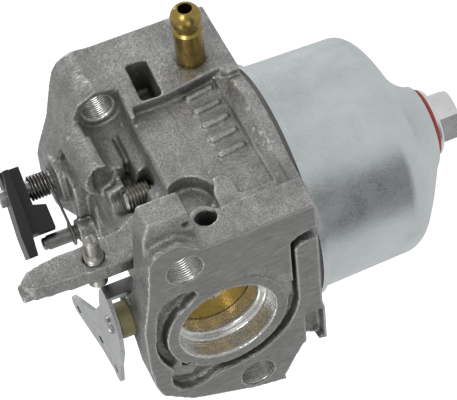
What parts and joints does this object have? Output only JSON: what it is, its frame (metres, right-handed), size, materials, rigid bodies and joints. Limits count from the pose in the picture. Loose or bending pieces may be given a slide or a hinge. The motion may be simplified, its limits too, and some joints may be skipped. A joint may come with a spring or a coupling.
{
  "type": "carburetor",
  "caption": "Small-engine float carburetor: die-cast body with round float bowl, brass fuel barb, butterfly throttle with sheet lever and idle screw, and choke with plastic lever.",
  "frame": {"origin": "centre of the main bore on the engine flange face", "axes": "-Y out of the engine flange towards the engine, +Y towards the air cleaner, +Z towards the levers with the float bowl hanging towards -Z, +X towards the fuel inlet barb"},
  "size_m": [0.0666, 0.06, 0.1013],
  "materials": {
    "casting": "as die cast, fine matt grain",
    "bowl_plate": "bright zinc plate, satin",
    "gasket": "moulded, matt",
    "bolt_steel": "bright zinc plate",
    "red_fibre": "pressed red fibre, matt",
    "jet_brass": "turned",
    "barb_brass": "turned, lightly tarnished",
    "plate_brass": "rolled sheet",
    "float_plastic": "moulded, matt",
    "shaft_steel": "ground",
    "screw_steel": "rolled thread, dull zinc",
    "needle_alloy": "turned",
    "seal_rubber": "moulded, matt",
    "seal_felt": "pressed felt",
    "lever_zinc": "pressed sheet, zinc plate",
    "bush_plastic": "moulded, oil stained",
    "black_plastic": "moulded, satin",
    "pin_alloy": "cast grey, rubbed at the tip",
    "spring_steel": "drawn wire"
  },
  "bodies": {
    "carburetor": {"carburetor_body": "casting", "float_bowl": "bowl_plate", "bowl_gasket": "gasket", "bowl_bolt": "bolt_steel", "bowl_bolt_washer": "red_fibre", "main_jet": "jet_brass", "main_nozzle": "jet_brass", "pilot_jet": "jet_brass", "float_hinge_pin": "shaft_steel", "inlet_needle_seat": "seal_rubber", "fuel_inlet_barb": "barb_brass", "throttle_shaft_bush": "bush_plastic", "throttle_shaft_seal": "seal_felt", "choke_spring": "spring_steel", "choke_stop_pin": "pin_alloy", "choke_shaft_seal": "seal_felt", "expansion_plug": "bowl_plate"},
    "throttle": {"throttle_shaft": "shaft_steel", "throttle_plate": "plate_brass", "throttle_plate_screw": "shaft_steel", "throttle_lever": "lever_zinc"},
    "choke": {"choke_shaft": "shaft_steel", "choke_plate": "plate_brass", "choke_plate_screws": "shaft_steel", "choke_lever": "black_plastic"},
    "float": {"float": "float_plastic"},
    "needle": {"inlet_needle": "needle_alloy"},
    "idle_screw": {"idle_speed_screw": "screw_steel"},
    "mixture_adjuster": {"mixture_screw": "screw_steel"}
  },
  "joints": [
    {"name": "throttle_turn", "type": "hinge", "parent": "carburetor", "child": "throttle", "pos_m": [0, 0.01, 0.0206], "axis": [0, 0, 1], "range_deg": [0, 75]},
    {"name": "choke_turn", "type": "hinge", "parent": "carburetor", "child": "choke", "pos_m": [0, 0.0504, 0.025], "axis": [0, 0, 1], "range_deg": [0, 75], "stiffness_Nm_per_rad": 0.01, "springref_deg": -11.46, "deforming": ["choke_spring"]},
    {"name": "float_hinge", "type": "hinge", "parent": "carburetor", "child": "float", "pos_m": [0, 0.0502, -0.0255], "axis": [-1, 0, 0], "range_deg": [0, 8]},
    {"name": "needle_slide", "type": "slide", "parent": "carburetor", "child": "needle", "axis": [0, 0, 1], "range_m": [0, 0.0006]},
    {"name": "mixture_screw_turn", "type": "hinge", "parent": "carburetor", "child": "mixture_adjuster", "pos_m": [0.0136, 0.0275, 0.006], "axis": [0, 0, 1], "range_deg": [-360, 360]},
    {"name": "idle_screw_turn", "type": "hinge", "parent": "carburetor", "child": "idle_screw", "pos_m": [0.018, 0.0134, 0.0214], "axis": [1, 0, 0], "range_deg": [-360, 360]}
  ],
  "couplings": [
    {"joint": "needle_slide", "follows": "float_hinge", "m_per_rad": 0.0042}
  ]
}
